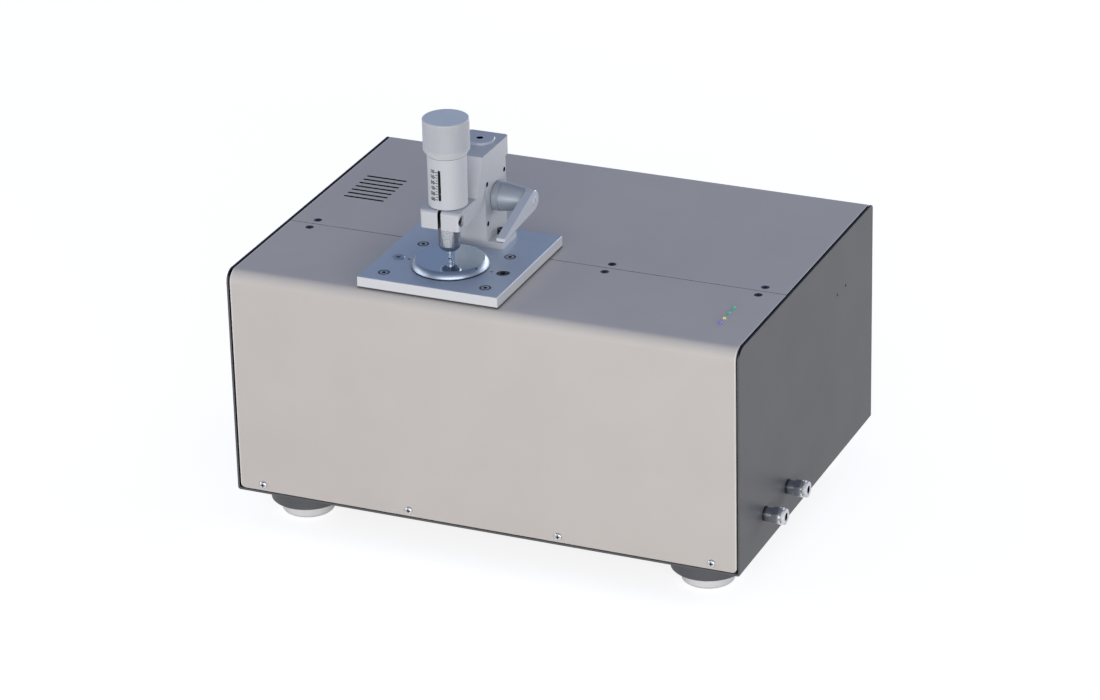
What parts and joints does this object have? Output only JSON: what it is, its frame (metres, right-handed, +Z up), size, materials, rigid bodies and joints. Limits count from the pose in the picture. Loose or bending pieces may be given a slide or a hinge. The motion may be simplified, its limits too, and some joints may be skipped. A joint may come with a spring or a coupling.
{
  "type": "ftir spectrometer",
  "caption": "Bench infrared spectrometer: a boxed sheet-metal housing on feet with a lever-operated pressure clamp over a round sampling disc on its top.",
  "frame": {"origin": "on the bench, in the middle of the part's footprint with its purge fittings and screw heads", "axes": "+X to the right seen from the front, +Y to the back, +Z up"},
  "size_m": [0.4166, 0.2848, 0.3273],
  "materials": {
    "grey_paint": "satin powder coat",
    "dark_grey_paint": "satin powder coat",
    "zinc_steel": "zinc plated",
    "chrome_screw": "bright",
    "black_screw": "black oxide",
    "foot_black": "matte",
    "foot_pale": "matte",
    "circuit_board": "satin",
    "indicator": "clear",
    "bright_steel": "bright turned",
    "nickel": "nickel plated brass",
    "collet_plastic": "semi-gloss",
    "gasket_rubber": "matte",
    "plate_aluminium": "clear anodised",
    "polished_steel": "polished",
    "crystal": "polished",
    "anodised": "bead-blasted and anodised",
    "blued_steel": "blued",
    "optics_aluminium": "machined",
    "salt_window": "polished",
    "black_metal": "black anodised",
    "canister": "matte",
    "socket_black": "matte"
  },
  "bodies": {
    "housing": {"atr_plate": "plate_aluminium", "atr_plate_screws": "black_screw", "beam_riser": "optics_aluminium", "beamsplitter": "salt_window", "beamsplitter_block": "optics_aluminium", "chassis_tub": "dark_grey_paint", "clamp_post": "anodised", "coil_magnet": "black_metal", "collimator": "optics_aluminium", "cross_rail": "zinc_steel", "crystal": "crystal", "desiccant_canister": "canister", "detector": "black_metal", "fixed_mirror": "optics_aluminium", "foot_bolts": "black_screw", "foot_discs": "foot_black", "foot_pads": "foot_pale", "front_cover": "grey_paint", "indicator_leds": "indicator", "infrared_source": "black_metal", "led_board": "circuit_board", "lock_screw_black": "black_screw", "lock_screw_bright": "bright_steel", "main_board": "circuit_board", "mirror_frame": "optics_aluminium", "optics_plate": "optics_aluminium", "pan_screws": "chrome_screw", "plate_gasket": "gasket_rubber", "post_foot_screws": "black_screw", "post_side_cover": "anodised", "post_side_screws": "black_screw", "power_socket": "socket_black", "purge_fittings": "nickel", "rear_cover": "grey_paint", "rear_panel": "dark_grey_paint", "reference_laser": "black_metal", "sample_disc": "polished_steel", "switch_body": "socket_black", "top_cover_screws": "black_screw"},
    "lever": {"cam_shaft": "bright_steel", "cam_hub": "anodised", "cam_lever": "anodised", "lever_screw": "bright_steel"},
    "arm": {"lift_yoke": "bright_steel", "lift_column": "bright_steel", "column_cap": "anodised", "clamp_arm": "anodised", "arm_clamp_screw": "black_screw", "guide_nose": "bright_steel", "load_sleeve": "anodised", "load_spring": "bright_steel"},
    "knob": {"pressure_knob": "anodised", "lead_screw": "bright_steel"},
    "nut": {"load_nut": "blued_steel"},
    "anvil": {"anvil_rod": "bright_steel", "anvil_tip": "bright_steel"},
    "collet_front": {"purge_collet_front": "collet_plastic"},
    "collet_rear": {"purge_collet_rear": "collet_plastic"},
    "scanner": {"scan_carriage": "optics_aluminium"},
    "rocker": {"switch_rocker": "socket_black"}
  },
  "joints": [
    {"name": "lever_turn", "type": "hinge", "parent": "housing", "child": "lever", "pos_m": [-0.02625, -0.0344, 0.246], "axis": [-1, 0, 0], "range_deg": [0, 90]},
    {"name": "arm_lift", "type": "slide", "parent": "housing", "child": "arm", "axis": [0, 0, 1], "range_m": [0, 0.005]},
    {"name": "knob_turn", "type": "hinge", "parent": "arm", "child": "knob", "pos_m": [-0.0499, -0.0924, 0.315], "axis": [0, 0, 1], "range_deg": [0, 1440]},
    {"name": "nut_travel", "type": "slide", "parent": "arm", "child": "nut", "axis": [0, 0, 1], "range_m": [0, 0.02], "deforming": ["load_spring"]},
    {"name": "anvil_give", "type": "slide", "parent": "arm", "child": "anvil", "axis": [0, 0, 1], "range_m": [0, 0.003], "stiffness_N_per_m": 400, "springref_m": -0.001},
    {"name": "collet_front_push", "type": "slide", "parent": "housing", "child": "collet_front", "axis": [-1, 0, 0], "range_m": [0, 0.001], "stiffness_N_per_m": 400, "springref_m": -0.001},
    {"name": "collet_rear_push", "type": "slide", "parent": "housing", "child": "collet_rear", "axis": [-1, 0, 0], "range_m": [0, 0.001], "stiffness_N_per_m": 400, "springref_m": -0.001},
    {"name": "mirror_scan", "type": "slide", "parent": "housing", "child": "scanner", "axis": [0, 1, 0], "range_m": [-0.004, 0.004]},
    {"name": "rocker_tip", "type": "hinge", "parent": "housing", "child": "rocker", "pos_m": [0.09175, 0.1382, 0.092], "axis": [1, 0, 0], "range_deg": [0, 16]}
  ],
  "couplings": [
    {"joint": "lever_turn", "follows": "arm_lift", "rad_per_m": 314.16},
    {"joint": "nut_travel", "follows": "knob_turn", "m_per_rad": 0.00079577}
  ]
}
